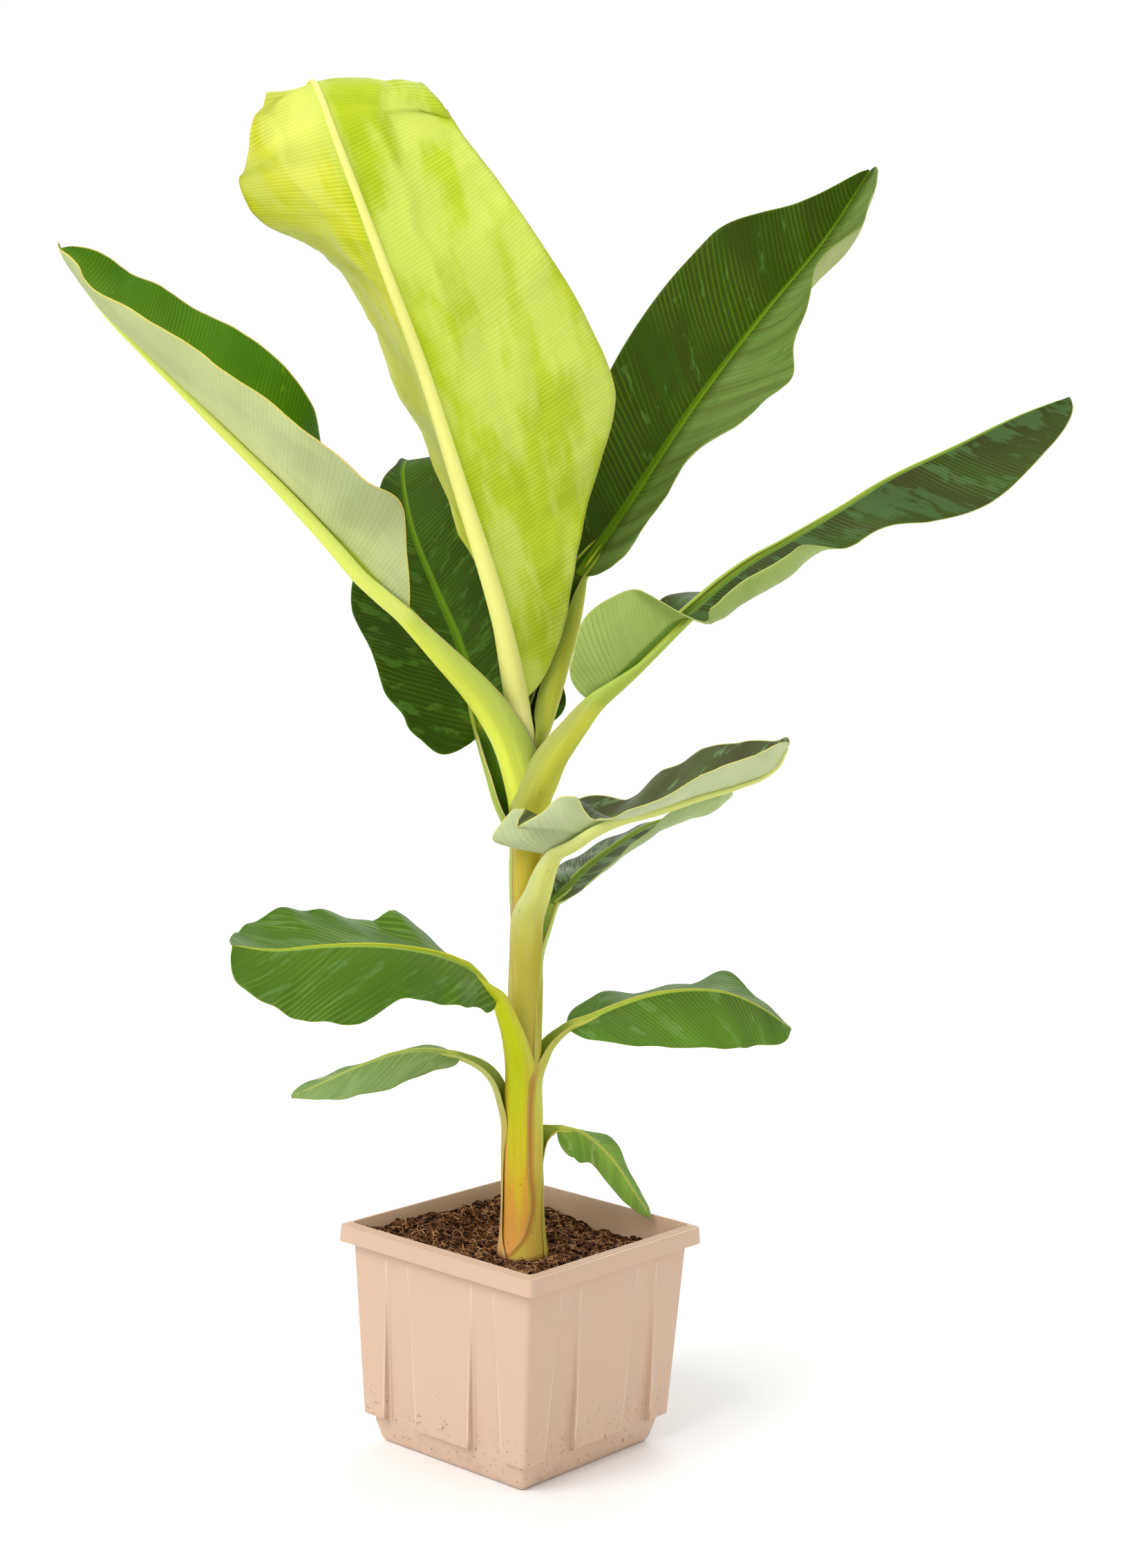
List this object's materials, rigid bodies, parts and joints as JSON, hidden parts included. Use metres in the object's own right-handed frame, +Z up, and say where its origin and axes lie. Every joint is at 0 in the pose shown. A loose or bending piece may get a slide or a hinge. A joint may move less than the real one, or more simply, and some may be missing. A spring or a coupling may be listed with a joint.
{
  "type": "banana plant in a square pot",
  "caption": "Young banana plant with an upright stem and broad arching leaves, planted in a square tapered plastic nursery pot filled with soil.",
  "frame": {"origin": "centre of the pot's flat underside", "axes": "+Z up along the stem; X and Y square to the pot's faces; the plant is turned 41.74 degrees about +Z in the pot, so the pot stands corner on when its long leaves point to either side"},
  "size_m": [0.7667, 0.7182, 1.3629],
  "materials": {
    "pot": "satin moulded plastic, pale terracotta beige",
    "soil": "damp peat and coir, dark brown",
    "stem": "smooth leaf sheaths, yellow green",
    "stalk": "smooth, yellow green",
    "leaf": "soft gloss leaf, deep green with paler veins",
    "leaf_top": "thin leaf lit through, yellow green"
  },
  "bodies": {
    "root": {"pot": "pot", "soil": "soil", "stem": "stem", "stalk_01": "stalk", "stalk_02": "stalk", "stalk_03": "stalk", "stalk_04": "stalk", "stalk_05": "stalk", "stalk_06": "stalk", "stalk_07": "stalk", "stalk_08": "stalk", "stalk_09": "stalk", "stalk_10": "stalk", "stalk_11": "stalk", "leaf_01": "leaf_top", "leaf_02": "leaf", "leaf_03": "leaf", "leaf_04": "leaf", "leaf_05": "leaf", "leaf_06": "leaf", "leaf_07": "leaf", "leaf_08": "leaf", "leaf_09": "leaf", "leaf_10": "leaf", "leaf_11": "leaf"}
  },
  "joints": []
}
